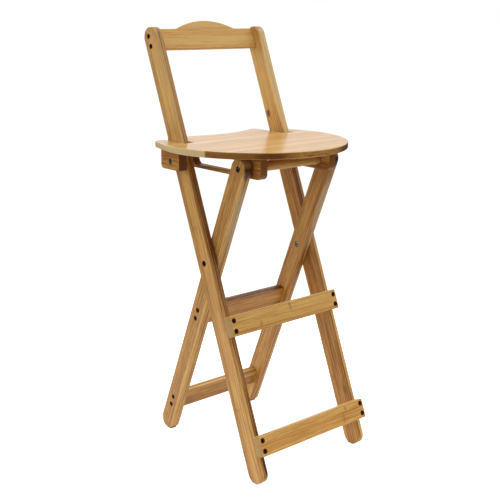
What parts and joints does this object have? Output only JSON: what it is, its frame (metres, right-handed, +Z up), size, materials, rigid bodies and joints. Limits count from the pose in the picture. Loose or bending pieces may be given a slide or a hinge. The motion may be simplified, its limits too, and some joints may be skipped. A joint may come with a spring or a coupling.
{
  "type": "folding bar stool",
  "caption": "Tall folding stool: crossed wooden leg frames, a round seat notched round its rear posts, a low arched back and footrest rungs.",
  "frame": {"origin": "on the floor, under the middle of the standing stool's bounding box", "axes": "+Z up, +Y from the front to the back, +X across; names call -X left, as it is seen from the front"},
  "size_m": [0.4544, 0.4416, 1.0305],
  "materials": {
    "bamboo": "laminated bamboo, satin clear lacquer",
    "seat_bamboo": "edge-glued bamboo strips, satin clear lacquer",
    "dark_steel": "black oxide",
    "bright_steel": "zinc plated",
    "washer_nylon": "moulded",
    "foot_rubber": "matt black"
  },
  "bodies": {
    "long_frame": {"crest_rail": "bamboo", "front_low_rung": "bamboo", "front_mid_rung": "bamboo", "left_crest_lower_screw": "dark_steel", "left_crest_upper_screw": "dark_steel", "left_crossing_bolt": "dark_steel", "left_crossing_sleeve_nut": "bright_steel", "left_crossing_washer": "washer_nylon", "left_front_low_lower_screw": "dark_steel", "left_front_low_upper_screw": "dark_steel", "left_front_mid_lower_screw": "dark_steel", "left_front_mid_upper_screw": "dark_steel", "left_front_pad": "foot_rubber", "left_long_leg": "bamboo", "left_seat_pivot_bolt": "dark_steel", "left_seat_pivot_sleeve_nut": "bright_steel", "left_seat_pivot_washer": "washer_nylon", "right_crest_lower_screw": "dark_steel", "right_crest_upper_screw": "dark_steel", "right_crossing_bolt": "dark_steel", "right_crossing_sleeve_nut": "bright_steel", "right_crossing_washer": "washer_nylon", "right_front_low_lower_screw": "dark_steel", "right_front_low_upper_screw": "dark_steel", "right_front_mid_lower_screw": "dark_steel", "right_front_mid_upper_screw": "dark_steel", "right_front_pad": "foot_rubber", "right_long_leg": "bamboo", "right_seat_pivot_bolt": "dark_steel", "right_seat_pivot_sleeve_nut": "bright_steel", "right_seat_pivot_washer": "washer_nylon"},
    "short_frame": {"left_dowel_bolt": "dark_steel", "left_rear_low_lower_screw": "dark_steel", "left_rear_low_upper_screw": "dark_steel", "left_rear_mid_lower_screw": "dark_steel", "left_rear_mid_upper_screw": "dark_steel", "left_rear_pad": "foot_rubber", "left_short_leg": "bamboo", "rear_low_rung": "bamboo", "rear_mid_rung": "bamboo", "right_dowel_bolt": "dark_steel", "right_rear_low_lower_screw": "dark_steel", "right_rear_low_upper_screw": "dark_steel", "right_rear_mid_lower_screw": "dark_steel", "right_rear_mid_upper_screw": "dark_steel", "right_rear_pad": "foot_rubber", "right_short_leg": "bamboo", "top_dowel": "bamboo"},
    "seat": {"left_bearer_front_screw": "dark_steel", "left_bearer_rear_screw": "dark_steel", "left_block_screw": "dark_steel", "left_pivot_block": "bamboo", "left_slotted_bearer": "bamboo", "right_bearer_front_screw": "dark_steel", "right_bearer_rear_screw": "dark_steel", "right_block_screw": "dark_steel", "right_pivot_block": "bamboo", "right_slotted_bearer": "bamboo", "seat_board": "seat_bamboo"}
  },
  "joints": [
    {"name": "leg_fold", "type": "hinge", "parent": "long_frame", "child": "short_frame", "pos_m": [0, -0.00679, 0.48468], "axis": [-1, 0, 0], "range_deg": [0, 43.2]},
    {"name": "seat_fold", "type": "hinge", "parent": "long_frame", "child": "seat", "pos_m": [0, 0.08546, 0.71532], "axis": [-1, 0, 0], "range_deg": [0, 21.6]}
  ],
  "couplings": [
    {"joint": "seat_fold", "follows": "leg_fold", "ratio": 0.5}
  ]
}
